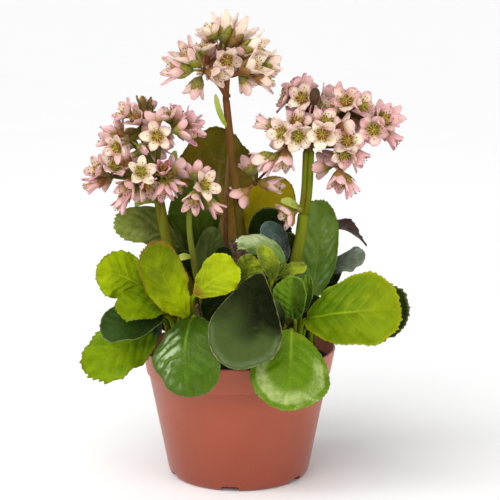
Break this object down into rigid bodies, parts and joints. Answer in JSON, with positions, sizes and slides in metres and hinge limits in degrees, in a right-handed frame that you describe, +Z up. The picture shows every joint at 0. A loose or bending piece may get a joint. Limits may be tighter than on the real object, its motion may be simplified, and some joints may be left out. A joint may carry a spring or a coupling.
{
  "type": "potted bergenia",
  "caption": "Flowering bergenia clump with rounded toothed leaves and pink flower heads on thick stems, standing in a round plastic nursery pot.",
  "frame": {"origin": "centre of the pot's underside, on the plane that the pot stands on", "axes": "+Z up along the pot's axis, -Y the picture's front, +X to the right in the picture"},
  "size_m": [0.214, 0.1796, 0.3089],
  "materials": {
    "terracotta_plastic": "satin",
    "peat": "matte",
    "bark": "matte",
    "leaf_lime": "satin",
    "leaf_green": "satin",
    "leaf_dark": "satin",
    "leaf_olive": "satin",
    "leaf_brown": "satin",
    "flower_stem": "satin",
    "petals": "matte"
  },
  "bodies": {
    "root": {"pot": "terracotta_plastic", "soil": "peat", "rhizome_left": "bark", "rhizome_centre": "bark", "rhizome_right": "bark", "leaf_left_low": "leaf_lime", "leaf_left_dark": "leaf_dark", "leaf_left_spoon": "leaf_lime", "leaf_left_fan": "leaf_lime", "leaf_left_olive": "leaf_olive", "leaf_yellow": "leaf_lime", "leaf_front_left": "leaf_green", "leaf_front_centre": "leaf_dark", "leaf_front_right": "leaf_green", "leaf_right_lime": "leaf_lime", "leaf_right_dark": "leaf_dark", "leaf_right_tall": "leaf_green", "leaf_right_edge": "leaf_brown", "leaf_right_grey": "leaf_dark", "leaf_back_large": "leaf_olive", "leaf_back_yellow": "leaf_olive", "leaf_mid_dark": "leaf_dark", "leaf_left_back": "leaf_dark", "leaf_serrate": "leaf_dark", "leaf_pale_curl": "leaf_green", "leaf_gloss_fold": "leaf_dark", "leaf_yellow_curl": "leaf_olive", "leaf_rolled_tip": "leaf_green", "leaf_mid_green": "leaf_green", "leaf_mid_right": "leaf_green", "leaf_young": "leaf_green", "leaf_small_dark": "leaf_dark", "leaf_shadow_mid": "leaf_dark", "leaf_core_dark": "leaf_dark", "leaf_shadow_left": "leaf_dark", "leaf_shadow_right": "leaf_dark", "leaf_behind_left": "leaf_green", "leaf_behind_centre": "leaf_dark", "leaf_behind_right": "leaf_green", "leaf_behind_upper": "leaf_olive", "leaf_behind_small": "leaf_green", "scape_left": "flower_stem", "scape_small": "flower_stem", "scape_centre": "flower_stem", "scape_right": "flower_stem", "flowers_left": "petals", "flowers_small": "petals", "flowers_centre": "petals", "flowers_right": "petals"}
  },
  "joints": []
}
